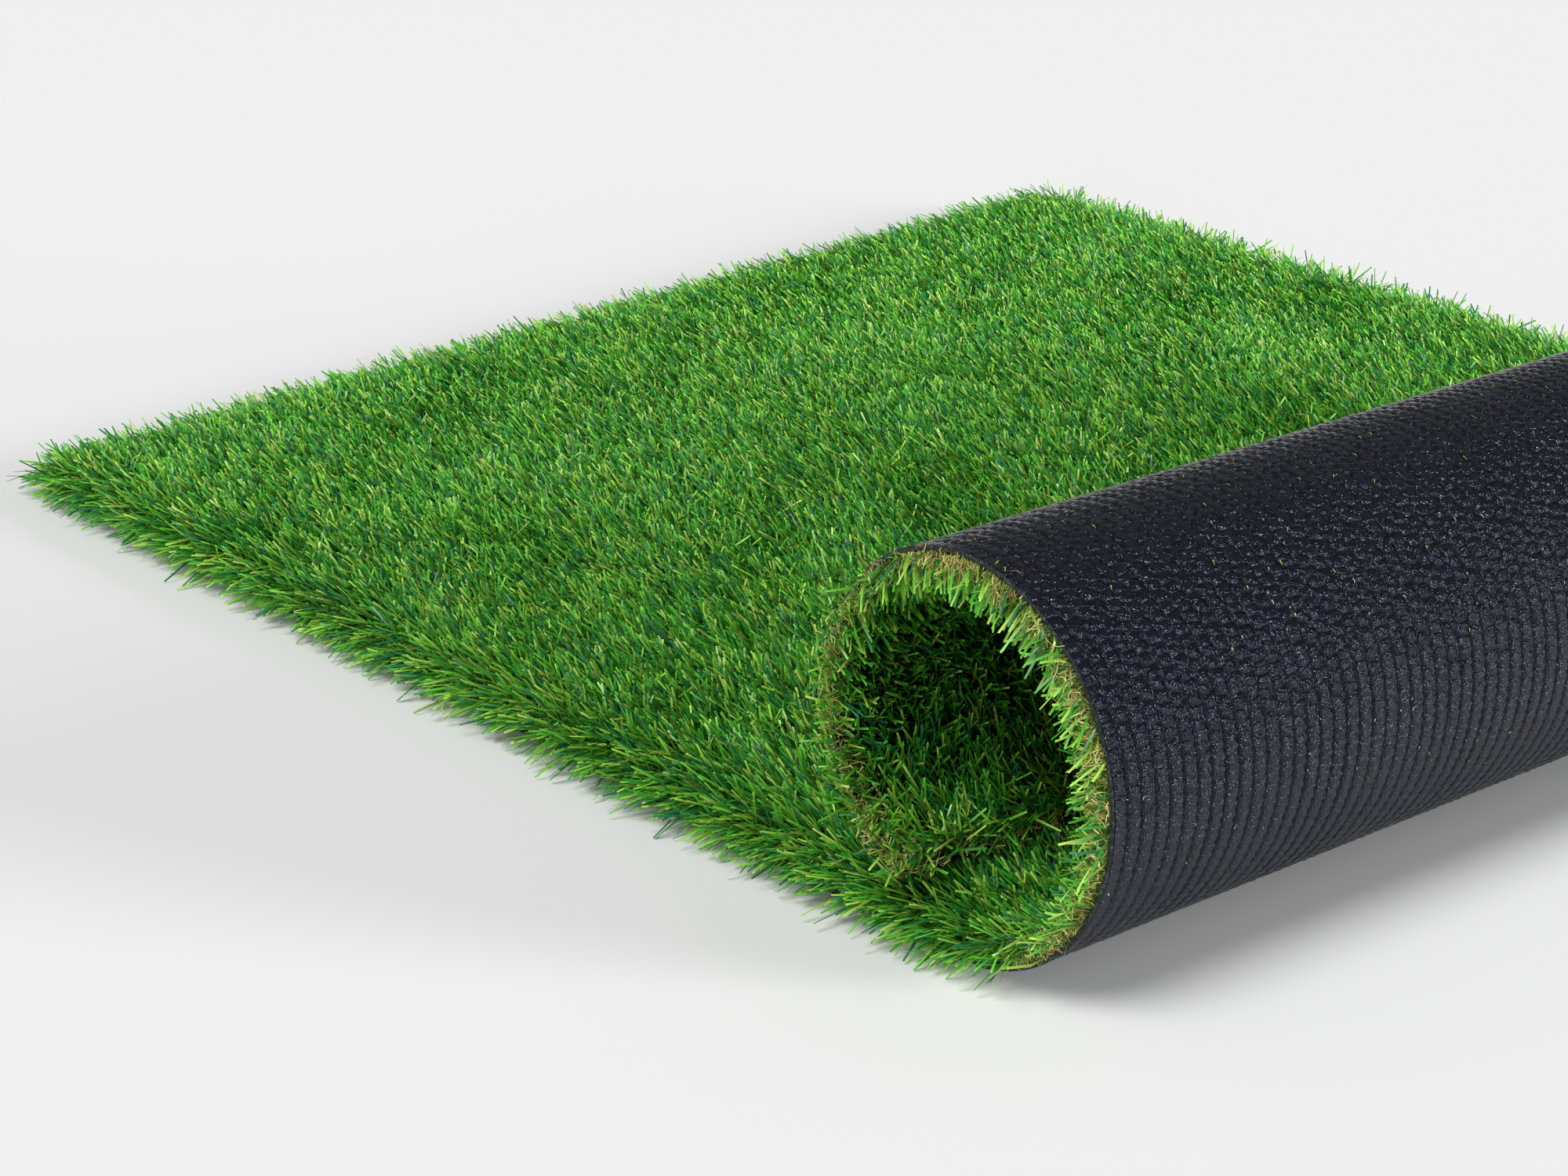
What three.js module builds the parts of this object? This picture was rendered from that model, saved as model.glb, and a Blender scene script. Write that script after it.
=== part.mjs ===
// A roll of artificial grass, partly unrolled: a tufted sheet that lies flat on the ground, with its
// near end turned up and over into one open turn, grass side in and black coated backing out.
//
// The sheet is two layers that follow one path. The backing is a thin coated cloth. The grass pile is
// the mass of blades on it, here as the solid that their tips reach, which leans out past the cut edges.
//
// Millimetres. X runs along the sheet from its far cut to the roll, Y along the roll's axis, Z up.
// The origin is the middle of the part's bounding box, on the ground.

import * as THREE from "three";

// The sheet.
const SHEET_WIDTH = 1000; // across the sheet, which is the length of the roll
const LAID_LENGTH = 905; // flat stretch along the front edge, from the far cut to where the roll begins
const FAR_CUT_SKEW = 75; // the far cut is out of square: the back edge is this much longer
const BACKING_THICKNESS = 2.5; // woven cloth with the tuft loops and their coating
const PILE_HEIGHT = 26; // from the backing to the tips of the leaning blades
const TIP_OVERHANG = 15; // how far the tips lean out past a cut edge

// The turn.
const ROLL_RADIUS = 109; // to the outside of the backing
const TIGHTENING_START = 150; // degrees of turn after which the roll draws in to its free end
const FREE_END_SHORTFALL = 25; // degrees by which the free end stops short of a full turn
const TURN_STEP = 5; // degrees of turn for each facet

const LAYER_GAP = 0.3; // between layers that lie on each other

const PILE_FOOT = BACKING_THICKNESS + LAYER_GAP;
const PILE_TOP = PILE_FOOT + PILE_HEIGHT;

const FULL_TURN = 360;
const TURN_END = FULL_TURN - FREE_END_SHORTFALL;

// The free end lies on the tips of the flat grass, so that height gives its distance from the axis.
const FREE_END_HEIGHT = PILE_TOP + LAYER_GAP;
const FREE_END_RADIUS =
  (ROLL_RADIUS - FREE_END_HEIGHT) / Math.cos(THREE.MathUtils.degToRad(FREE_END_SHORTFALL));

// Distance of the backing's outer face from the roll's axis, after that many degrees of turn.
function radiusAfter(turn) {
  const share = Math.max(0, (turn - TIGHTENING_START) / (TURN_END - TIGHTENING_START));
  return ROLL_RADIUS - (ROLL_RADIUS - FREE_END_RADIUS) * share * share;
}

// The outer face of the backing, seen from the front: a straight line on the ground up to x = 0, then
// the turn, which climbs on the right, goes over the top and comes down inside on the left.
// Its stations are one for the flat stretch and one for each step of the turn.
const TURN_STATIONS = Math.ceil(TURN_END / TURN_STEP);
const STATIONS = 1 + TURN_STATIONS;

class SheetPath extends THREE.Curve {
  getPoint(share, target = new THREE.Vector3()) {
    const station = share * STATIONS;
    if (station <= 1) return target.set(-LAID_LENGTH * (1 - station), 0, 0);
    const turn = ((station - 1) / TURN_STATIONS) * TURN_END;
    const angle = THREE.MathUtils.degToRad(turn);
    const radius = radiusAfter(turn);
    return target.set(radius * Math.sin(angle), 0, ROLL_RADIUS - radius * Math.cos(angle));
  }

  getPointAt(share, target) {
    return this.getPoint(share, target);
  }

  getTangentAt(share, target) {
    return this.getTangent(share, target);
  }
}

// Moves the far end, the only corners beyond the middle of the flat stretch, out to the skewed cut.
// Its upper corners lean out by the overhang.
function moveFarEndToCut(geometry, foot, height, overhang) {
  const corner = geometry.getAttribute("position");
  for (let i = 0; i < corner.count; i++) {
    if (corner.getX(i) > -LAID_LENGTH / 2) continue;
    const skew = FAR_CUT_SKEW * (corner.getY(i) / SHEET_WIDTH + 0.5);
    const lean = (overhang * (corner.getZ(i) - foot)) / height;
    corner.setX(i, corner.getX(i) - skew - lean);
  }
}

// One layer of the sheet, as a mesh. It reaches from its foot, measured from the sheet's outer face, up
// by its height, and its sides lean out by the overhang on the way.
function layer(name, foot, height, overhang, material) {
  const half = SHEET_WIDTH / 2;
  const section = new THREE.Shape([
    new THREE.Vector2(-foot, -half),
    new THREE.Vector2(-foot, half),
    new THREE.Vector2(-foot - height, half + overhang),
    new THREE.Vector2(-foot - height, -half - overhang),
  ]);
  const geometry = new THREE.ExtrudeGeometry(section, {
    steps: STATIONS,
    extrudePath: new SheetPath(),
    bevelEnabled: false,
  });
  moveFarEndToCut(geometry, foot, height, overhang);
  const mesh = new THREE.Mesh(geometry, material);
  mesh.name = name;
  return mesh;
}

function coatedBacking() {
  const latex = new THREE.MeshStandardMaterial({ color: 0x2b2e37, roughness: 0.45, metalness: 0 });
  return layer("backing", 0, BACKING_THICKNESS, 0, latex);
}

function grassPile() {
  const yarn = new THREE.MeshStandardMaterial({ color: 0x457e30, roughness: 0.6, metalness: 0 });
  return layer("grass_pile", PILE_FOOT, PILE_HEIGHT, TIP_OVERHANG, yarn);
}

const roll = new THREE.Group();
roll.add(coatedBacking(), grassPile());

// The origin goes to the middle of the box, on the ground.
const middle = new THREE.Box3().setFromObject(roll).getCenter(new THREE.Vector3());
for (const mesh of roll.children) mesh.position.set(-middle.x, -middle.y, 0);

export default roll;
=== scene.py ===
# %% [markdown]
# # A roll of artificial grass, partly unrolled
#
# One sheet of tufted grass lies on the ground, and its near end is turned up and over into one open
# turn. The grass is inside the turn and the black coated backing is outside. This lesson dresses the
# two plain solids of the frame: a backing with the stitch rows pressing through its coating, and a
# pile of separate blades with curled thatch at their feet.

import bpy
import numpy as np
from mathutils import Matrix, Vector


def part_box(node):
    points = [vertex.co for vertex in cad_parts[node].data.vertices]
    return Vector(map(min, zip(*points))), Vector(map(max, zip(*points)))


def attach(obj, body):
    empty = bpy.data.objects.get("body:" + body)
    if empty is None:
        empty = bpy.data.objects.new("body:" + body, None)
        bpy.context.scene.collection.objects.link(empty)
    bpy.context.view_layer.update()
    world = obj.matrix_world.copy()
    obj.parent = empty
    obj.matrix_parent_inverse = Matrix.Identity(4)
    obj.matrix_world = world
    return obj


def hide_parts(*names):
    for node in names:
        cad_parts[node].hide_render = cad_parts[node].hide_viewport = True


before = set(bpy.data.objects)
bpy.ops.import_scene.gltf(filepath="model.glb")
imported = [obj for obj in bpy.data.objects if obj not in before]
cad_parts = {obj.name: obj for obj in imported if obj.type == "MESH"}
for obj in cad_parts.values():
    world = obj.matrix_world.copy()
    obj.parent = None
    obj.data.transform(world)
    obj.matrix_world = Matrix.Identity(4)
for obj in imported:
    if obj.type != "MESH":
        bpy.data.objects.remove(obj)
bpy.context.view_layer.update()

# %% [markdown]
# ## The sheet's path
#
# Both layers follow one path: flat on the ground, then round the turn. Everything else is placed by
# two coordinates on the sheet, the distance along it and the place across it, so one function that
# turns those into a point in space does the work for blades, thatch and backing alike.

# %% The driving sizes
# Lengths are in metres and angles of the turn in degrees. The free end rests on the tips of the flat
# grass, and the height of those tips gives its distance from the axis.
MM = 0.001
ROLL_RADIUS = 109 * MM
TIGHTENING_START = 150.0
TURN_END = 335.0
BACKING_THICKNESS = 2.5 * MM
FAR_CUT_SKEW = 75 * MM

BACKING_LOW, BACKING_HIGH = (np.array(corner, float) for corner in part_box("backing"))
AXIS_X = BACKING_HIGH[0] - ROLL_RADIUS
FRONT_Y, BACK_Y = BACKING_LOW[1], BACKING_HIGH[1]
SHEET_WIDTH = BACK_Y - FRONT_Y
FREE_END_RISE = 29.1 * MM
FREE_END_RADIUS = (ROLL_RADIUS - FREE_END_RISE) / np.cos(np.radians(360 - TURN_END))


# %% From the sheet's own coordinates to space
def turn_table(steps=4000):
    """The turn as a table of length, x, z and heading.

    The radius is constant up to TIGHTENING_START degrees, and from there draws in with the square of
    the share of turn left, so that the free end comes down inside the start of the turn.
    """
    turn = np.linspace(0, TURN_END, steps)
    share = np.clip((turn - TIGHTENING_START) / (TURN_END - TIGHTENING_START), 0, 1)
    radius = ROLL_RADIUS - (ROLL_RADIUS - FREE_END_RADIUS) * share**2
    angle = np.radians(turn)
    x = radius * np.sin(angle)
    z = ROLL_RADIUS - radius * np.cos(angle)
    length = np.concatenate([[0], np.cumsum(np.hypot(np.diff(x), np.diff(z)))])
    heading = np.unwrap(np.arctan2(np.gradient(z), np.gradient(x)))
    heading[0] = 0
    return length, x, z, heading


TURN_LENGTH, TURN_X, TURN_Z, TURN_HEADING = turn_table()
SHEET_END = TURN_LENGTH[-1]


def far_cut(y):
    """The far cut, as distance along the sheet: straight, and FAR_CUT_SKEW further at the back edge."""
    back_cut = BACKING_LOW[0] - AXIS_X
    return back_cut + FAR_CUT_SKEW * (BACK_Y - y) / SHEET_WIDTH


ACROSS = np.array([0.0, 1.0, 0.0])


def sheet_axes(s):
    """The directions along the sheet and off its outer face towards the grass, at distance s."""
    heading = np.interp(s, TURN_LENGTH, TURN_HEADING)
    nought = np.zeros_like(heading)
    along = np.stack([np.cos(heading), nought, np.sin(heading)], -1)
    up = np.stack([-np.sin(heading), nought, np.cos(heading)], -1)
    return along, up


def sheet_point(s, y, height=0.0):
    """A point on the sheet: s is 0 where the turn begins and below 0 on the flat, height is measured
    from the backing's outer face towards the grass."""
    s, y = np.broadcast_arrays(np.asarray(s, float), np.asarray(y, float))
    x = AXIS_X + np.interp(s, TURN_LENGTH, TURN_X) + np.minimum(s, 0)
    z = np.interp(s, TURN_LENGTH, TURN_Z)
    up = sheet_axes(s)[1]
    return np.stack([x, y, z], -1) + up * np.asarray(height)[..., None]


print(f"sheet: {SHEET_WIDTH:.3f} m wide, {SHEET_END - far_cut(FRONT_Y):.3f} m long at the front edge")

# %% [markdown]
# ## Helpers for meshes and materials
#
# Two hundred thousand blades are quick to make only as whole arrays. `mesh_piece` takes corner arrays
# and hands them to Blender in one go. The colours are written as the sRGB hex values that one would
# pick off a sample card, and one function turns them to the linear values that shaders add up.


# %% Meshes from arrays
def mesh_piece(name, points, faces, uv_maps, material, smooth=True):
    """A mesh object from arrays.

    points is (n, 3). faces is a list of arrays of vertex numbers, one array for each number of
    corners, shaped (faces, corners). uv_maps gives, for each map's name, a list of arrays shaped
    (faces, corners, 2) in the same order.
    """
    mesh = bpy.data.meshes.new(name)
    corner_counts = np.concatenate([np.full(len(f), f.shape[1]) for f in faces])
    corners = np.concatenate([f.ravel() for f in faces])
    mesh.vertices.add(len(points))
    mesh.vertices.foreach_set("co", np.ascontiguousarray(points, np.float32).ravel())
    mesh.loops.add(len(corners))
    mesh.loops.foreach_set("vertex_index", corners.astype(np.int32))
    mesh.polygons.add(len(corner_counts))
    starts = np.concatenate([[0], np.cumsum(corner_counts)[:-1]])
    mesh.polygons.foreach_set("loop_start", starts.astype(np.int32))
    mesh.polygons.foreach_set("use_smooth", np.full(len(corner_counts), smooth))
    for map_name, parts in uv_maps.items():
        layer = mesh.uv_layers.new(name=map_name)
        places = np.concatenate([part.reshape(-1, 2) for part in parts])
        layer.uv.foreach_set("vector", places.astype(np.float32).ravel())
    mesh.update(calc_edges=True)
    mesh.materials.append(material)
    piece = bpy.data.objects.new(name, mesh)
    bpy.context.scene.collection.objects.link(piece)
    triangles = int((corner_counts - 2).sum())
    print(f"{name}: {len(points)} points, {triangles} triangles")
    return piece


# %% Colours and nodes
def linear(hex_colour):
    """An sRGB hex colour such as "4f9a2a" as linear red, green, blue and full alpha."""
    srgb = np.array([int(hex_colour[i : i + 2], 16) for i in (0, 2, 4)]) / 255
    values = np.where(srgb <= 0.04045, srgb / 12.92, ((srgb + 0.055) / 1.055) ** 2.4)
    return (*map(float, values), 1.0)


def add_node(tree, kind, settings=None, links=None):
    """Adds a node. settings sets its properties, or its sockets where the name is a socket's or the
    key is a number. links gives, for each of its sockets, the socket that feeds it."""
    node = tree.nodes.new(kind)
    for key, value in (settings or {}).items():
        if isinstance(key, int) or not hasattr(node, key):
            node.inputs[key].default_value = value
        else:
            setattr(node, key, value)
    for key, source in (links or {}).items():
        tree.links.new(source, node.inputs[key])
    return node


def new_material(name):
    """An empty material with its output node, and the tree to fill."""
    material = bpy.data.materials.new(name)
    material.use_nodes = True
    tree = material.node_tree
    tree.nodes.clear()
    return material, tree, tree.nodes.new("ShaderNodeOutputMaterial")


def colour_steps(tree, source, colours, interpolation="CONSTANT"):
    """A ramp that gives each colour an equal share of the source's way from 0 to 1."""
    ramp = add_node(tree, "ShaderNodeValToRGB", links={"Fac": source})
    stops = ramp.color_ramp
    stops.interpolation = interpolation
    last = max(len(colours) - (interpolation != "CONSTANT"), 1)
    for number, colour in enumerate(colours):
        place = number / last
        stop = stops.elements[number] if number < 2 else stops.elements.new(place)
        stop.position = place
        stop.color = linear(colour)
    return ramp.outputs["Color"]


# %% [markdown]
# ## Grass yarn
#
# The blades are polyethylene ribbon, extruded in several greens, slit and cut: soft plastic with an
# IOR of about 1.5 and a satin skin that gives each blade a small highlight. Each blade reads its
# colour from its own UV map: the column says which yarn it is, and the row how far up the blade a
# point lies, because the foot of each blade is painted darker, as shade from the pile around it.

# %% The yarn's material
# Twelve shades stand for the greens of the mixed yarns. The pale ones are drawn more often at the
# cuts and the frayed ends, as painted light where the side of the pile is open to the lamps.
YARN_GREENS = [
    "287b3c", "40a830", "57c338", "75db3f", "358e41", "abf352",
    "60c338", "248959", "84e048", "caf36c", "9aca4b", "47b041",
]
YARNS = len(YARN_GREENS)
PALE_YARNS = [5, 8, 9, 10]
# Painted shade along a blade, from its foot to its tip: the foot is darker, as shade from the pile
# around it.
PAINTED_SHADE_FOOT_TO_TIP = ["5c6040", "c4c4a0", "ffffff"]


def yarn_material():
    """Extruded polyethylene ribbon: the yarn's green times a painted shade that darkens the blade
    towards its foot. The satin skin gives each blade a thin highlight along its length."""
    material, tree, output = new_material("polyethylene_grass_yarn")
    place = add_node(tree, "ShaderNodeUVMap", {"uv_map": "yarn"})
    split = add_node(tree, "ShaderNodeSeparateXYZ", links={"Vector": place.outputs["UV"]})
    green = colour_steps(tree, split.outputs["X"], YARN_GREENS)
    height = colour_steps(tree, split.outputs["Y"], PAINTED_SHADE_FOOT_TO_TIP, "LINEAR")
    shade = add_node(
        tree, "ShaderNodeMix", {"data_type": "RGBA", "blend_type": "MULTIPLY", 0: 1.0},
        {6: green, 7: height},
    )
    shader = add_node(
        tree, "ShaderNodeBsdfPrincipled", {"Roughness": 0.36, "IOR": 1.5},
        {"Base Color": shade.outputs[2]},
    )
    tree.links.new(shader.outputs["BSDF"], output.inputs["Surface"])
    return material


# %% [markdown]
# ## The blades
#
# Tufting needles stand side by side across the sheet, three eighths of an inch apart, and each
# stitches a row along it. A tuft is a bundle of ribbons, and each ribbon is drawn here with three
# stations: root, knee and tip. The machine and the roll lay the pile over to one side, and at a cut
# edge, where no neighbours hold them, the blades lean out.

# %% Tuft places
GAUGE = 9.525 * MM
STITCH = 6.25 * MM
EDGE_ROW = 1.8 * MM

print(f"rows {GAUGE / MM:.3f} mm apart, stitches {STITCH / MM} mm apart")


def edge_tufts():
    """Tufts that the knife has opened, EDGE_ROW inside each cut and half as far apart as the others."""
    spacing = STITCH / 2
    y = np.arange(FRONT_Y, BACK_Y, spacing)
    ends = [(far_cut(y) + EDGE_ROW, y), (np.full_like(y, SHEET_END - EDGE_ROW), y)]
    sides = []
    for place in (FRONT_Y + EDGE_ROW, BACK_Y - EDGE_ROW):
        s = np.arange(far_cut(place), SHEET_END, spacing)
        sides.append((s, np.full_like(s, place)))
    return [np.concatenate(parts) for parts in zip(*(ends + sides))]


def tuft_places():
    """Distance along and place across for each tuft: rows GAUGE apart, stitches STITCH apart, every
    other row half a stitch on, none outside the cuts, and the opened tufts along the cuts."""
    rows = int(SHEET_WIDTH / GAUGE)
    y = FRONT_Y + (SHEET_WIDTH - (rows - 1) * GAUGE) / 2 + GAUGE * np.arange(rows)
    s = np.arange(far_cut(BACK_Y), SHEET_END, STITCH)
    along, across = np.meshgrid(s, y)
    along = along + STITCH / 2 * (np.arange(rows) % 2)[:, None]
    inside = (along > far_cut(across) + EDGE_ROW) & (along < SHEET_END - EDGE_ROW)
    edge_s, edge_y = edge_tufts()
    return np.concatenate([along[inside], edge_s]), np.concatenate([across[inside], edge_y])


# %% Ribbons
COLUMN_MARGIN = 0.1


def ribbon_mesh(name, stations, side, widths, column, columns, material):
    """Flat ribbons that start as a point, where the stitch gathers them, and end in a blunt cut.

    stations is (ribbons, stations, 3), side the unit vector across each ribbon, and widths the whole
    width at each station but the first. Each ribbon's UV fills one of the columns, from 0 at its root
    to 1 at its tip. The map that is named OFBake has the same places.
    """
    count, length = stations.shape[:2]
    half = np.asarray(widths)[..., None] / 2
    left = stations[:, 1:] - side[:, None] * half
    right = stations[:, 1:] + side[:, None] * half
    points = np.concatenate([stations[:, :1], np.stack([left, right], 2).reshape(count, -1, 3)], 1)
    per_ribbon = 2 * (length - 1) + 1
    first = per_ribbon * np.arange(count)[:, None]
    level = 1 + 2 * np.arange(length - 2)[:, None]
    quads = (first[:, None] + level + np.array([0, 1, 3, 2])).reshape(-1, 4)
    feet = first + np.array([0, 2, 1])

    low = (column + COLUMN_MARGIN) / columns
    high = (column + 1 - COLUMN_MARGIN) / columns
    rise = np.arange(length) / (length - 1)
    u_quad = np.stack([low, high, high, low], -1)[:, None].repeat(length - 2, 1)
    v_quad = np.stack([rise[1:-1], rise[1:-1], rise[2:], rise[2:]], -1)[None].repeat(count, 0)
    quad_uv = np.stack([u_quad, v_quad], -1).reshape(-1, 4, 2)
    u_foot = np.stack([(low + high) / 2, high, low], -1)
    v_foot = np.broadcast_to([0.0, rise[1], rise[1]], (count, 3))
    foot_uv = np.stack([u_foot, v_foot], -1)
    maps = {"yarn": [quad_uv, foot_uv], "OFBake": [quad_uv, foot_uv]}
    return mesh_piece(name, points.reshape(-1, 3), [quads, feet], maps, material)


def unit(vectors):
    """Each vector over its own length."""
    return vectors / np.linalg.norm(vectors, axis=-1, keepdims=True)


# %% Where the pile is loose, and where it is frayed
# The sheet leaves the ground between FRAY_START and FRAY_FULL along it.
EDGE_REACH = 11 * MM
TURNED_EDGE_LEAN = 0.6
FRAY_START = 45 * MM
FRAY_FULL = 95 * MM
FRAY_REACH = 13 * MM

print(f"blades fall outwards within about {EDGE_REACH / MM:.0f} mm of a cut")


def edge_distance(s, y):
    """How far a place on the sheet lies from the nearest cut edge."""
    return np.minimum.reduce([y - FRONT_Y, BACK_Y - y, s - far_cut(y), SHEET_END - s]).clip(0)


def slow_waves(rng, s, y, lengths):
    """A smooth field about 1 high: the sum of sine waves of the given lengths in random directions,
    over the square root of their number."""
    total = np.zeros_like(s)
    for length in lengths:
        heading, phase = rng.uniform(0, 2 * np.pi, 2)
        total += np.sin(2 * np.pi * (s * np.cos(heading) + y * np.sin(heading)) / length + phase)
    return total / np.sqrt(len(lengths))


def turned_share(s):
    """0 on the flat and where the turn starts, 1 once the sheet has left the ground."""
    return np.clip((s - FRAY_START) / (FRAY_FULL - FRAY_START), 0, 1)


def edge_looseness(s, y):
    """How freely a blade falls outwards, from 0 inside the sheet to 1 at a cut on the flat. On the
    turn the crowded pile holds the blades up, and there it is TURNED_EDGE_LEAN at most."""
    held = 1 - (1 - TURNED_EDGE_LEAN) * turned_share(s)
    return held * np.exp(-edge_distance(s, y) / EDGE_REACH)


def fraying(s, y):
    """How cut short and tangled the pile is, from 0 to 1 at the ends of the roll, where it has been
    handled."""
    from_end = np.minimum(y - FRONT_Y, BACK_Y - y).clip(0)
    return turned_share(s) * np.exp(-from_end / FRAY_REACH)


# %% How the pile leans
# The parts of the lean are added up as arrows, and only the direction of their sum counts. Each is in
# parts of one unit, first along the sheet and then across it. The waves of the drift are in metres.
PILE_LEAN = np.array([-0.75, -0.62])
LEAN_DRIFT = 0.32
DRIFT_WAVES_ALONG = [0.31, 0.15, 0.063]
DRIFT_WAVES_ACROSS = [0.27, 0.12, 0.051]
TURNED_SPREAD_LOSS = 0.4
FRAYED_SPREAD = 0.9
EDGE_LEAN = 1.7
FREE_END_LEAN = 0.85

print("the pile leans along and across by", PILE_LEAN)


def lean_direction(rng, s, y, spread):
    """Which way each blade leans, as (along, across): the pile's own lean, its slow drift over the
    sheet, a spread of its own, and outwards within EDGE_REACH of a cut edge."""
    lean = np.empty((len(s), 2))
    lean[:] = PILE_LEAN
    lean[:, 0] += LEAN_DRIFT * slow_waves(rng, s, y, DRIFT_WAVES_ALONG)
    lean[:, 1] += LEAN_DRIFT * slow_waves(rng, s, y, DRIFT_WAVES_ACROSS)
    spread = spread * (1 - TURNED_SPREAD_LOSS * turned_share(s)) + FRAYED_SPREAD * fraying(s, y)
    lean += spread[:, None] * rng.normal(0, 1, lean.shape)
    outward = EDGE_LEAN * edge_looseness(s, y)
    nearest = np.argmin([s - far_cut(y), SHEET_END - s, y - FRONT_Y, BACK_Y - y], 0)
    lean[:, 0] += outward * np.array([-1.0, FREE_END_LEAN, 0.0, 0.0])[nearest]
    lean[:, 1] += outward * np.array([0.0, 0.0, -1.0, 1.0])[nearest]
    return lean


# %% The size of a blade
# The tips' heights are above the ground on the flat, and off the backing's outer face on the turn.
BLADE_LENGTH = 34 * MM
BLADE_WIDTHS = np.array([1.45, 1.05]) * MM
KNEE = 0.48
PILE_TOP = 31 * MM
TURNED_PILE_TOP = 27.5 * MM
LOWEST_TIP = 0.6 * MM
TURNED_LOWEST_TIP = -4 * MM
ROOT_SCATTER = 1.8 * MM
TURNED_SHORTENING = 0.15
FRAYED_SHORTENING = 0.3
LENGTH_SPREAD = 0.1
FRAYED_LENGTH_SPREAD = 0.15
LENGTH_LIMITS = (0.5, 1.25)
TWIST_SPREAD = 0.7
LOW_DROOP = 0.15
HIGH_DROOP = 0.6
DOWN = np.array([0.0, 0.0, -1.0])

print(f"blades: {BLADE_LENGTH / MM:.0f} mm long, {BLADE_WIDTHS / MM} mm wide at knee and tip")

# %% How far its halves tilt
# Degrees from upright of a blade's lower and upper half: the usual tilt, what a loose edge and fraying
# add to it, the spread from blade to blade, and the limits. Fraying widens the spread and raises the
# upper limit.
LOW_TILT = {"usual": 13, "loose": 20, "frayed": 22, "spread": 12, "limits": (0, 80)}
HIGH_TILT = {"usual": 40, "loose": 34, "frayed": 0, "spread": 22, "limits": (4, 105)}
FRAYED_TILT_SPREAD = 22
FRAYED_TILT_LIMIT = 15

print("usual tilt of the lower and the upper half:", LOW_TILT["usual"], HIGH_TILT["usual"])


def half_tilt(rng, half, loose, frayed):
    """The angle from upright of one half of each blade, in radians: the usual tilt, more where the
    blade is loose or frayed, and a spread of its own, within the limits."""
    spread = half["spread"] + FRAYED_TILT_SPREAD * frayed
    tilt = half["usual"] + half["loose"] * loose + half["frayed"] * frayed
    tilt = tilt + spread * rng.normal(0, 1, len(loose))
    lowest, highest = half["limits"]
    return np.radians(np.clip(tilt, lowest, highest + FRAYED_TILT_LIMIT * frayed))


# %% Blades from tufts
def blade_stations(rng, s, y, scatter):
    """Root, knee and tip of a blade in each tuft, and the direction across it.

    The lower half leans a little from upright and the upper half much more, both the way that the
    pile leans there, and no tip stands above the pile's top. Frayed blades are shorter, and some of
    them stick out past the backing.
    """
    count = len(s)
    root_s = s + rng.normal(0, ROOT_SCATTER, count) / 2
    root_y = y + rng.normal(0, ROOT_SCATTER, count)
    along, up = sheet_axes(root_s)
    lean = lean_direction(rng, s, y, scatter)
    flat = unit(lean[:, :1] * along + lean[:, 1:] * ACROSS)
    loose, frayed, turned = edge_looseness(s, y), fraying(s, y), turned_share(s)
    length = BLADE_LENGTH * (1 - TURNED_SHORTENING * turned - FRAYED_SHORTENING * frayed)
    length_spread = LENGTH_SPREAD + FRAYED_LENGTH_SPREAD * frayed
    length = length * np.clip(1 + length_spread * rng.normal(0, 1, count), *LENGTH_LIMITS)
    low_tilt = half_tilt(rng, LOW_TILT, loose, frayed)
    high_tilt = half_tilt(rng, HIGH_TILT, loose, frayed)
    low = flat * np.sin(low_tilt)[:, None] + up * np.cos(low_tilt)[:, None]
    high = flat * np.sin(high_tilt)[:, None] + up * np.cos(high_tilt)[:, None]
    low = unit(low + DOWN * (LOW_DROOP * loose)[:, None])
    high = unit(high + DOWN * (HIGH_DROOP * loose)[:, None])
    root = sheet_point(root_s, root_y, BACKING_THICKNESS)
    knee_rise = KNEE * length * (low * up).sum(1)
    tip_rise = knee_rise + (1 - KNEE) * length * (high * up).sum(1)
    knee = root + low * (KNEE * length)[:, None]
    tip = knee + high * ((1 - KNEE) * length)[:, None]
    lowest = LOWEST_TIP + (TURNED_LOWEST_TIP - LOWEST_TIP) * turned - BACKING_THICKNESS
    highest = PILE_TOP + (TURNED_PILE_TOP - PILE_TOP) * turned - BACKING_THICKNESS
    wanted = np.clip(tip_rise, lowest, highest)
    tip += up * (wanted - tip_rise)[:, None]
    twist = rng.normal(0, TWIST_SPREAD, count)[:, None]
    side = unit(np.cross(high, up))
    side = unit(side * np.cos(twist) + np.cross(high, side) * np.sin(twist))
    return np.stack([root, knee, tip], 1), side


# %% A strip of the pile
BLADE_SPREAD = 0.55
FRAY_LOSS = 0.2
# The shares of blades drawn again as pale yarn: painted light at the cuts and where the pile is frayed.
PAINTED_LIGHT_AT_CUTS = 0.05
PAINTED_LIGHT_WHERE_FRAYED = 0.25


def grow_blades(name, rng, s, y, per_tuft, material):
    """per_tuft blades in each tuft, fewer where the pile is frayed, as one piece. Each is of a yarn
    drawn at random. At the cuts and where the pile is frayed, some are drawn again as pale, as painted
    light on the open sides of the pile."""
    s, y = np.repeat(s, per_tuft), np.repeat(y, per_tuft)
    kept = rng.uniform(0, 1, len(s)) > FRAY_LOSS * fraying(s, y)
    s, y = s[kept], y[kept]
    stations, side = blade_stations(rng, s, y, BLADE_SPREAD)
    yarn = rng.integers(0, YARNS, len(s))
    at_cut = np.exp(-edge_distance(s, y) / EDGE_REACH)
    painted_light_share = PAINTED_LIGHT_AT_CUTS * at_cut + PAINTED_LIGHT_WHERE_FRAYED * fraying(s, y)
    pale = rng.uniform(0, 1, len(s)) < painted_light_share
    yarn = np.where(pale, rng.choice(PALE_YARNS, len(s)), yarn)
    return ribbon_mesh(name, stations, side, BLADE_WIDTHS, yarn, YARNS, material)


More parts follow.
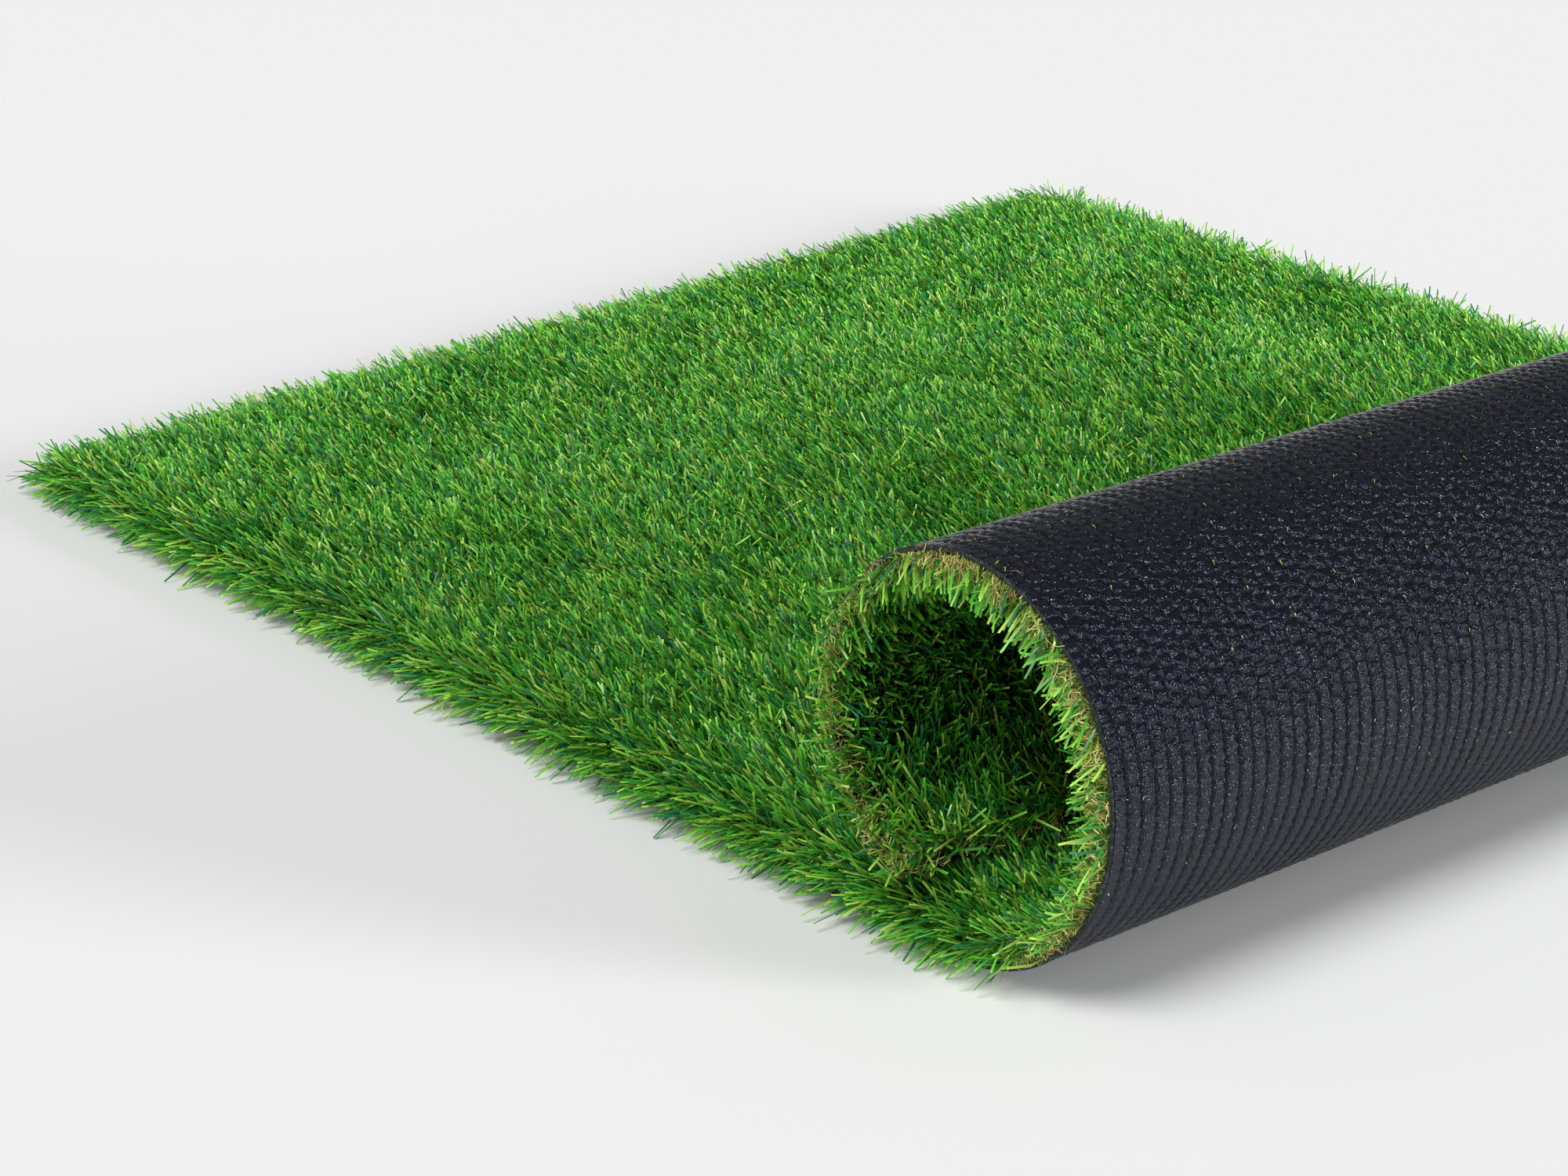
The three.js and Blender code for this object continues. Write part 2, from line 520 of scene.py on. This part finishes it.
# %% The pile, in strips that are each small enough for one piece
FLAT_BLADES_PER_TUFT = 8
TURNED_BLADES_PER_TUFT = 7
FLAT_STRIPS = 3
TURN_STRIPS = 2

grass_yarn = yarn_material()
rng = np.random.default_rng(seed=20)
TUFT_S, TUFT_Y = tuft_places()
print(f"tufts: {len(TUFT_S)}")


def strips(s, y, first, last, count):
    """The tufts from first to last along the sheet, cut into strips that hold the same number."""
    chosen = np.flatnonzero((s >= first) & (s < last))
    chosen = chosen[np.argsort(s[chosen], kind="stable")]
    return [(s[part], y[part]) for part in np.array_split(chosen, count)]


pile_pieces = []
for number, (s, y) in enumerate(strips(TUFT_S, TUFT_Y, -np.inf, 0, FLAT_STRIPS), 1):
    name = f"flat_grass_{number}"
    pile_pieces.append(grow_blades(name, rng, s, y, FLAT_BLADES_PER_TUFT, grass_yarn))
for number, (s, y) in enumerate(strips(TUFT_S, TUFT_Y, 0, np.inf, TURN_STRIPS), 1):
    name = f"turned_grass_{number}"
    pile_pieces.append(grow_blades(name, rng, s, y, TURNED_BLADES_PER_TUFT, grass_yarn))

# %% [markdown]
# ## The thatch
#
# A second yarn, crimped and tan, is stitched in with the blades and stays low, so that the pile
# looks as if it had dry grass at its foot. On the flat it is hidden but for a few specks. At the cut
# edges, and most of all round the end of the roll, its curls show.

# %% The thatch yarn's material
THATCH_BROWNS = ["ece090", "d8c878", "c8ac60", "dce07c", "bcd068", "a48c50"]


def thatch_material():
    """Crimped polypropylene, dull and dry to the eye because its fine crimps scatter the light. Each
    strand is one of the browns."""
    material, tree, output = new_material("crimped_polypropylene_thatch")
    place = add_node(tree, "ShaderNodeUVMap", {"uv_map": "yarn"})
    split = add_node(tree, "ShaderNodeSeparateXYZ", links={"Vector": place.outputs["UV"]})
    brown = colour_steps(tree, split.outputs["X"], THATCH_BROWNS)
    shader = add_node(
        tree, "ShaderNodeBsdfPrincipled", {"Roughness": 0.6, "IOR": 1.49}, {"Base Color": brown}
    )
    tree.links.new(shader.outputs["BSDF"], output.inputs["Surface"])
    return material


# %% Curled strands
STRAND_STEP = 3.4 * MM
STRAND_STATIONS = 6
STRAND_WIDTH = 0.5 * MM
STRAND_SPREAD = 0.9
THATCH_TOP = 24 * MM
FRAYED_HANG = 1.6

# Radians: the range of the first step's pitch above the backing, the middle and spread of the later
# ones, and the spread of the turns between steps.
FIRST_PITCH = (0.6, 1.5)
LATER_PITCH = (0.45, 0.9)
CURL_TURN = 1.1

print(f"strands: {STRAND_STATIONS - 1} steps of {STRAND_STEP / MM} mm")


def curl_stations(rng, s, y):
    """A crimped strand from each root: a walk of equal steps whose direction turns at random each
    time, held between the backing and THATCH_TOP by turning a step that leaves that layer. Frayed
    strands may hang past the backing."""
    count = len(s)
    along, up = sheet_axes(s)
    lean = lean_direction(rng, s, y, STRAND_SPREAD)
    heading = np.arctan2(lean[:, 1], lean[:, 0])
    lowest = BACKING_THICKNESS * (1 - FRAYED_HANG * fraying(s, y))
    height = np.full(count, BACKING_THICKNESS)
    place = sheet_point(s, y, BACKING_THICKNESS)
    stations = [place]
    pitch = rng.uniform(*FIRST_PITCH, count)
    for _ in range(STRAND_STATIONS - 1):
        rise = STRAND_STEP * np.sin(pitch)
        leaving = (height + rise > THATCH_TOP) | (height + rise < lowest)
        rise = np.where(leaving, -rise, rise)
        flat = np.cos(heading)[:, None] * along + np.sin(heading)[:, None] * ACROSS
        place = place + flat * (STRAND_STEP * np.cos(pitch))[:, None] + up * rise[:, None]
        height = height + rise
        stations.append(place)
        heading = heading + rng.normal(0, CURL_TURN, count)
        pitch = rng.normal(*LATER_PITCH, count)
    side = unit(np.cross(up, rng.normal(0, 1, (count, 3))))
    return np.stack(stations, 1), side


# %% Where the strands stand
NEAR_EDGE = 11 * MM
FLAT_EDGE_STRANDS = 3
TURNED_EDGE_STRANDS = 13
FREE_END_STRANDS = 9
INNER_SHARE = 0.25
SCATTER_ALONG = 2.5 * MM
SCATTER_ACROSS = 1.5 * MM
PULLED_OUT = 3 * MM

# The share of the strands that is kept, how far it swings in the clumps, and their waves in metres.
KEPT_SHARE = 0.6
KEPT_SWING = 0.4
CLUMP_WAVES = [0.05, 0.031, 0.019]


def strand_places(rng):
    """A root for each strand. Tufts near a cut have several, most of all at the ends of the roll,
    and INNER_SHARE of the others have one. At the ends of the roll they are pulled out a little.
    Slow waves thin them out, so that they come in clumps."""
    near_edge = edge_distance(TUFT_S, TUFT_Y) < NEAR_EDGE
    at_edge = np.select(
        [TUFT_S > SHEET_END - FRAY_REACH, TUFT_S > FRAY_START],
        [FREE_END_STRANDS, TURNED_EDGE_STRANDS], FLAT_EDGE_STRANDS,
    )
    inner = (rng.uniform(0, 1, len(TUFT_S)) < INNER_SHARE).astype(int)
    count = np.where(near_edge, at_edge, inner)
    s = np.repeat(TUFT_S, count)
    y = np.repeat(TUFT_Y, count)
    s = s + rng.normal(0, SCATTER_ALONG, len(s))
    y = y + rng.normal(0, SCATTER_ACROSS, len(y))
    y = y + PULLED_OUT * fraying(s, y) * np.sign(y - (FRONT_Y + BACK_Y) / 2)
    share = KEPT_SHARE + KEPT_SWING * slow_waves(rng, s, y, CLUMP_WAVES)
    kept = rng.uniform(0, 1, len(s)) < share
    return s[kept], y[kept]


strand_s, strand_y = strand_places(rng)
stations, side = curl_stations(rng, strand_s, strand_y)
widths = np.full(STRAND_STATIONS - 1, STRAND_WIDTH)
brown = rng.integers(0, len(THATCH_BROWNS), len(strand_s))
thatch = ribbon_mesh(
    "thatch", stations, side, widths, brown, len(THATCH_BROWNS), thatch_material()
)
pile_pieces.append(thatch)

# %% [markdown]
# ## The coated backing
#
# On the underside each stitch leaves a small loop, so a row of tufts is a row of lumps like a rope.
# Black latex is rolled over them and cured: it bridges the ropes, pools between them and dries half
# glossy. The turn shows this face close up, so there the lumps are real relief, and the material
# adds the crinkles of the skin. A grid follows the rows, because the rows are where the relief is.

# %% The stitch relief
# Samples and depths go across one rope, from the groove on one side to the groove on the other.
RELIEF_DEPTH = 1.5 * MM
ROPE_SAMPLES = np.array([0.0, 0.16, 0.5, 0.84])
ROPE_DEPTHS = np.array([1.0, 0.35, 0.0, 0.35])
GROOVE_SHARE = 0.5
DIP_SHARE = 0.32
CHANCE_SHARE = 0.18
STITCH_SAMPLES = 2
EDGE_BAND = 3 * MM
RELIEF_RUN_IN = 4 * STITCH
NARROWEST_ROW = 1 * MM

print(f"relief of the coating: {RELIEF_DEPTH / MM} mm")


def stitch_relief(rng, s, y):
    """How far the skin lies below the tops of the lumps, from 0 to RELIEF_DEPTH: a groove between
    each rope and the next, a dip between each stitch and the next, and a little of its own at each
    point. It fades out towards the cut edges and the flat."""
    row = (y - FRONT_Y) / GAUGE
    groove = np.interp(row % 1, [*ROPE_SAMPLES, 1.0], [*ROPE_DEPTHS, ROPE_DEPTHS[0]])
    dip = 0.5 + 0.5 * np.cos(2 * np.pi * (s / STITCH + 0.5 * (np.floor(row) % 2)))
    depth = GROOVE_SHARE * groove + DIP_SHARE * dip + CHANCE_SHARE * rng.uniform(0, 1, s.shape)
    fade = np.clip(np.minimum(y - FRONT_Y, BACK_Y - y) / EDGE_BAND, 0, 1)
    fade = fade * np.clip(s / RELIEF_RUN_IN, 0, 1)
    return RELIEF_DEPTH * depth * fade


def backing_grid():
    """Distance along and place across for each grid point of the outer face. Across, each rope has a
    point in its groove, one on each shoulder and one on its crown. Along, one row lies at the far cut
    and the rest, STITCH_SAMPLES for each stitch, follow the turn."""
    ropes = np.arange(int(SHEET_WIDTH / GAUGE) + 1)
    y = FRONT_Y + GAUGE * (ropes[:, None] + ROPE_SAMPLES).ravel()
    y = np.concatenate([y[y < BACK_Y - NARROWEST_ROW], [BACK_Y]])
    turn = np.linspace(0, SHEET_END, int(round(SHEET_END / STITCH * STITCH_SAMPLES)) + 1)
    s = np.concatenate([far_cut(y)[None], np.repeat(turn[:, None], len(y), 1)])
    return s, np.broadcast_to(y, s.shape)


# %% The sheet laid out on a square picture
# Shares of the picture's side. From left to right come the outer face, the back edge, the inner face
# and the front edge. The end faces are thin strips along the bottom and the top, each with the
# places of its inner and its outer side.
OUTER_LEFT = 0.01
OUTER_RIGHT = 0.85
INNER_LEFT = 0.87
INNER_RIGHT = 0.97
FRONT_EDGE_RIGHT = 0.99
LAID_OUT_HEIGHTS = [0.012, 0.12, 0.988]
FAR_END_STRIP = (0.002, 0.008)
FREE_END_STRIP = (0.998, 0.992)


def bake_places(s, y, outer_count):
    """Where each point of the sheet goes on the picture. The outer face has most of the width and
    the turn most of the height, because they are seen. The inner face is a narrow strip beside it,
    turned over, with room between for the cut edges."""
    across = (y - FRONT_Y) / SHEET_WIDTH
    outer = np.arange(len(s)) < outer_count
    outer_u = OUTER_LEFT + (OUTER_RIGHT - OUTER_LEFT) * across
    inner_u = INNER_RIGHT - (INNER_RIGHT - INNER_LEFT) * across
    v = np.interp(s, [far_cut(BACK_Y), 0, SHEET_END], LAID_OUT_HEIGHTS)
    return np.stack([np.where(outer, outer_u, inner_u), v], -1)


def end_face_places(spread, inner_u, strip):
    """The places of an end face. Its outer side goes to one height of the strip. Its last two corners
    are the inner face's, and go to the strip's other height with the given places across."""
    inner_v, outer_v = strip
    spread[0, :-2, 1] = outer_v
    spread[0, -2:, 0] = inner_u
    spread[0, -2:, 1] = inner_v
    return spread


# %% The closed sheet
def backing_piece(rng, coating, cut_cloth):
    """The closed sheet: the outer face as a grid with its relief, the inner face as one strip for
    each row, an edge strip on either side and a face at each end. The cuts show the cloth."""
    s, y = backing_grid()
    rows, columns = s.shape
    outer = sheet_point(s, y, stitch_relief(rng, s, y))
    inner = sheet_point(s[:, [0, -1]], y[:, [0, -1]], BACKING_THICKNESS)
    points = np.concatenate([outer.reshape(-1, 3), inner.reshape(-1, 3)])
    number = np.arange(rows * columns).reshape(rows, columns)
    within = rows * columns + np.arange(rows * 2).reshape(rows, 2)

    def quads(grid):
        """A face for each cell of a grid of vertex numbers, its corners in turn."""
        corners = [grid[:-1, :-1], grid[:-1, 1:], grid[1:, 1:], grid[1:, :-1]]
        return np.stack(corners, -1).reshape(-1, 4)

    front = quads(np.stack([within[:, 0], number[:, 0]], 1))
    back = quads(np.stack([number[:, -1], within[:, 1]], 1))
    top = quads(within[:, ::-1])
    faces = np.concatenate([quads(number), top])
    four = np.concatenate([faces, front, back])
    far_end = np.concatenate([number[0, ::-1], within[0]])[None]
    free_end = np.concatenate([number[-1], within[-1, ::-1]])[None]

    all_s = np.concatenate([s.ravel(), s[:, [0, -1]].ravel()])
    all_y = np.concatenate([y.ravel(), y[:, [0, -1]].ravel()])
    place = np.stack([all_y - FRONT_Y, all_s], -1)
    spread = bake_places(all_s, all_y, rows * columns)
    spread_four = spread[four]
    front_u = spread_four[len(faces) : len(faces) + len(front), :, 0]
    front_u[front_u < INNER_LEFT] = FRONT_EDGE_RIGHT
    spread_far = end_face_places(spread[far_end], (OUTER_LEFT, OUTER_RIGHT), FAR_END_STRIP)
    spread_free = end_face_places(spread[free_end], (OUTER_RIGHT, OUTER_LEFT), FREE_END_STRIP)
    maps = {
        "sheet": [place[four], place[far_end], place[free_end]],
        "OFBake": [spread_four, spread_far, spread_free],
    }
    piece = mesh_piece("backing_sheet", points, [four, far_end, free_end], maps, coating)
    piece.data.materials.append(cut_cloth)
    at_cut = np.arange(len(piece.data.polygons)) >= len(faces)
    piece.data.polygons.foreach_set("material_index", at_cut.astype(np.int32))
    piece.data.polygons.foreach_set("use_smooth", ~at_cut)
    return piece


# %% The latex coating
def maths(tree, operation, *inputs):
    """One arithmetic step. Each input is a number or the socket that gives it."""
    node = add_node(tree, "ShaderNodeMath", {"operation": operation})
    for number, value in enumerate(inputs):
        if isinstance(value, (int, float)):
            node.inputs[number].default_value = value
        else:
            tree.links.new(value, node.inputs[number])
    return node.outputs["Value"]


# Each pair below is the slope and the start of a straight line. LENGTH_TO_STANDING goes by the
# distance along the turn in metres, and the others by how far the lumps stand out there.
FILLED_PATCH = 42 * MM
CRINKLE_SIZE = 1.8 * MM
CRINKLE_SHARE = 0.3
PATCH_TO_STANDING = 0.8
LENGTH_TO_STANDING = (8.0, -1.6)
LUMP_DEPTH = (0.6, 0.35)
GROOVE_DEPTH = (-0.08, 0.22)
RUBBED_ROUGHNESS = (-0.1, 0.1)
LUMP_POWER = 2.0
GROOVE_POWER = 6.0

# The real skin is 1 to 2 mm deep. The bump is drawn deeper, because its finest slopes are too fine to
# show from this far off, and its highlights would be too weak.
BUMP_DEPTH = 5.0 * MM
# Colours from the tops of the lumps to the deepest places. The darkening with depth is painted shade in
# the grooves and dips.
LATEX_COLOURS_WITH_PAINTED_SHADE = ["090d1a", "070a14", "030408", "010102"]
LATEX_ROUGHNESS = ["686868", "828282", "dadada", "f3f3f3"]


def latex_material():
    """Rolled and cured black latex: half glossy on the lumps, matt in deep places, where it is open
    foam, and darker there as painted shade in the grooves and dips. Its depth is 0 on top of the lumps
    and about 1 in the deepest places.

    Each stitch is a lump, and the skin falls with the square of the way from its middle. Stitches
    in neighbouring rows lie half a stitch apart. The ropes have broad crowns and narrow grooves:
    the way from the crown, as a share of half the gauge, goes in with its sixth power. Slow noise
    and the distance from the ground decide where the lumps stand out, and where the latex has
    filled them up and leaves the ropes. Finer noise crinkles the skin."""
    material, tree, output = new_material("black_latex_coating")
    place = add_node(tree, "ShaderNodeUVMap", {"uv_map": "sheet"})
    split = add_node(tree, "ShaderNodeSeparateXYZ", links={"Vector": place.outputs["UV"]})
    row = maths(tree, "DIVIDE", split.outputs["X"], GAUGE)
    stagger = maths(tree, "MULTIPLY", maths(tree, "FLOOR", row), 0.5)
    stitch = maths(tree, "MULTIPLY_ADD", split.outputs["Y"], 1 / STITCH, stagger)
    cell = add_node(tree, "ShaderNodeCombineXYZ", links={"X": row, "Y": stitch})
    lumps = add_node(
        tree, "ShaderNodeTexVoronoi", {"voronoi_dimensions": "2D", "Scale": 1.0, "Randomness": 0.5},
        {"Vector": cell.outputs["Vector"]},
    )
    filled = add_node(
        tree, "ShaderNodeTexNoise", {"Scale": 1 / FILLED_PATCH, "Detail": 1.0},
        {"Vector": place.outputs["UV"]},
    )
    crinkle = add_node(
        tree, "ShaderNodeTexNoise", {"Scale": 1 / CRINKLE_SIZE, "Detail": 1.0, "Roughness": 0.6},
        {"Vector": place.outputs["UV"]},
    )
    climb = maths(tree, "MULTIPLY_ADD", split.outputs["Y"], *LENGTH_TO_STANDING)
    standing = maths(tree, "MULTIPLY_ADD", filled.outputs["Fac"], PATCH_TO_STANDING, climb)
    standing.node.use_clamp = True
    fall = maths(tree, "POWER", lumps.outputs["Distance"], LUMP_POWER)
    lump_share = maths(tree, "MULTIPLY_ADD", standing, *LUMP_DEPTH)
    lump_depth = maths(tree, "MULTIPLY", fall, lump_share)
    across_rope = maths(tree, "MULTIPLY_ADD", maths(tree, "FRACT", row), 2.0, -1.0)
    narrow = maths(tree, "POWER", maths(tree, "ABSOLUTE", across_rope), GROOVE_POWER)
    groove_share = maths(tree, "MULTIPLY_ADD", standing, *GROOVE_DEPTH)
    depth = maths(tree, "ADD", lump_depth, maths(tree, "MULTIPLY", narrow, groove_share))
    rough_depth = maths(tree, "MULTIPLY_ADD", crinkle.outputs["Fac"], CRINKLE_SHARE, depth)
    bump = add_node(
        tree, "ShaderNodeBump", {"invert": True, "Strength": 1.0, "Distance": BUMP_DEPTH},
        {"Height": rough_depth},
    )
    colour = colour_steps(tree, depth, LATEX_COLOURS_WITH_PAINTED_SHADE, "LINEAR")
    open_foam = colour_steps(tree, depth, LATEX_ROUGHNESS, "LINEAR")
    rubbed = maths(tree, "MULTIPLY_ADD", standing, *RUBBED_ROUGHNESS)
    roughness = maths(tree, "ADD", open_foam, rubbed)
    shader = add_node(
        tree, "ShaderNodeBsdfPrincipled",
        {"IOR": 1.5, "Specular IOR Level": 0.34, "Specular Tint": linear("dce2f8")},
        {"Base Color": colour, "Normal": bump.outputs["Normal"], "Roughness": roughness},
    )
    tree.links.new(shader.outputs["BSDF"], output.inputs["Surface"])
    return material


# %% The cut edge of the cloth
CUT_CLOTH_COLOURS = ["0a0c10", "20282a", "788a84"]
THREAD_SIZE = 1.5 * MM


def cut_cloth_material():
    """Woven polypropylene tape, seen only at the cut: a dark line with pale specks where the cut
    ends of its threads show. Noise of about a thread's size mixes the dark and the pale."""
    material, tree, output = new_material("woven_polypropylene_cut_edge")
    place = add_node(tree, "ShaderNodeTexCoord")
    threads = add_node(
        tree, "ShaderNodeTexNoise", {"Scale": 1 / THREAD_SIZE, "Detail": 2.0},
        {"Vector": place.outputs["Object"]},
    )
    colour = colour_steps(tree, threads.outputs["Fac"], CUT_CLOTH_COLOURS, "LINEAR")
    shader = add_node(
        tree, "ShaderNodeBsdfPrincipled", {"Roughness": 0.7, "IOR": 1.49}, {"Base Color": colour}
    )
    tree.links.new(shader.outputs["BSDF"], output.inputs["Surface"])
    return material


backing_sheet = backing_piece(rng, latex_material(), cut_cloth_material())

# %% Stray yarn ends
END_COUNT = 500
END_LENGTH = 2.4 * MM
END_LENGTH_SHARES = (0.5, 1.4)
END_WIDTH = 0.5 * MM
END_RISE = np.array([1.2, 0.1, 0.0]) * MM
OFF_GROOVE = 0.5 * MM
OFF_ROW = 0.4
FIRST_END_SHARE = 0.1
LAST_END = 0.97 * SHEET_END


def stray_ends(rng, material):
    """Cut ends of yarn that came through with the stitches: short ribbons that lie in the grooves of
    the turn's outer face, within about OFF_ROW radians of the rows. One end is sunk in the skin, and
    the other lies on it."""
    row = rng.integers(1, int(SHEET_WIDTH / GAUGE), END_COUNT)
    y = FRONT_Y + GAUGE * row + rng.normal(0, OFF_GROOVE, END_COUNT)
    s = LAST_END * rng.uniform(FIRST_END_SHARE, 1, END_COUNT)
    turn = rng.normal(0, OFF_ROW, END_COUNT)
    length = END_LENGTH * rng.uniform(*END_LENGTH_SHARES, END_COUNT)
    share = np.array([-0.5, 0.0, 0.5])
    stations = sheet_point(
        s[:, None] + np.cos(turn)[:, None] * length[:, None] * share,
        y[:, None] + np.sin(turn)[:, None] * length[:, None] * share,
        np.broadcast_to(END_RISE, (END_COUNT, 3)),
    )
    side = np.broadcast_to(ACROSS, (END_COUNT, 3))
    widths = np.array([END_WIDTH, END_WIDTH])
    yarn = rng.choice(PALE_YARNS, END_COUNT)
    return ribbon_mesh("stray_yarn_ends", stations, side, widths, yarn, YARNS, material)


pile_pieces.append(stray_ends(rng, grass_yarn))

# %% [markdown]
# ## Places in the frame
#
# Every piece rides on the one body, and the CAD solid that it dresses is hidden.

# %% Riding, and hiding the CAD solids
for piece in pile_pieces:
    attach(piece, "root")
    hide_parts("grass_pile")

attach(backing_sheet, "root")
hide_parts("backing")

# %% [markdown]
# ## Floor, light and camera
#
# The photograph is a cut-out on white, so the floor and the world are pale and the light is broad.
# The main lamp is large and soft, high up and in front of the roll's end. A weak one beside the
# camera opens the shadows. A low one beyond the roll skims the coating, and gives its crinkles their
# small glints.


# %% The floor
FLOOR_HALF = 12.0
FLOOR_DROP = 0.3 * MM


def studio_floor():
    """A matt square of paper, FLOOR_DROP below the ground so that no blade reaches through it."""
    material, tree, output = new_material("pale_paper_floor")
    shader = add_node(
        tree, "ShaderNodeBsdfPrincipled", {"Roughness": 0.9, "Base Color": linear("f4f4f4")}
    )
    tree.links.new(shader.outputs["BSDF"], output.inputs["Surface"])
    corners = np.array([[-1, -1], [1, -1], [1, 1], [-1, 1]])
    points = np.column_stack([FLOOR_HALF * corners, np.full(4, -FLOOR_DROP)])
    return mesh_piece("floor", points, [np.array([[0, 1, 2, 3]])], {}, material)


studio_floor()


# %% The light
def soft_sun(name, azimuth, elevation, width, strength):
    """A sun lamp, width degrees across. Azimuth 0 is on the -Y side, and 90 on the +X side."""
    lamp = bpy.data.lights.new(name, "SUN")
    lamp.angle = np.radians(width)
    lamp.energy = strength
    holder = bpy.data.objects.new(name, lamp)
    holder.rotation_euler = (np.pi / 2 - np.radians(elevation), 0, np.radians(azimuth))
    bpy.context.scene.collection.objects.link(holder)
    print(f"{name}: azimuth {azimuth}, elevation {elevation}, strength {strength}")


soft_sun("overhead_softbox", azimuth=5, elevation=58, width=30, strength=2.05)
soft_sun("front_fill", azimuth=35, elevation=20, width=40, strength=0.35)
soft_sun("side_softbox", azimuth=122, elevation=12, width=18, strength=2.5)

# %% The sky
SKY_STRENGTH = 0.22

world = bpy.data.worlds.new("studio")
bpy.context.scene.world = world
world.use_nodes = True
sky = world.node_tree.nodes["Background"]
sky.inputs["Color"].default_value = linear("ffffff")
sky.inputs["Strength"].default_value = SKY_STRENGTH
print("sky strength:", SKY_STRENGTH)

# %% The camera, found by fitting the sheet's outline to the photograph
CAMERA_AZIMUTH = 50.33
CAMERA_ELEVATION = 21.05
CAMERA_PLACE = (AXIS_X + 1231.3 * MM, FRONT_Y - 1132.7 * MM, 841.7 * MM)
FOCAL_LENGTH = 85.1
SENSOR_WIDTH = 36

lens = bpy.data.cameras.new("camera")
lens.lens = FOCAL_LENGTH
lens.sensor_width = SENSOR_WIDTH
lens.clip_start = 0.05
lens.clip_end = 60
camera = bpy.data.objects.new("camera", lens)
camera.location = CAMERA_PLACE
camera.rotation_euler = (np.radians(90 - CAMERA_ELEVATION), 0, np.radians(CAMERA_AZIMUTH))
bpy.context.scene.collection.objects.link(camera)
bpy.context.scene.camera = camera
bpy.context.scene.view_settings.view_transform = "Standard"
print("camera at", CAMERA_PLACE)
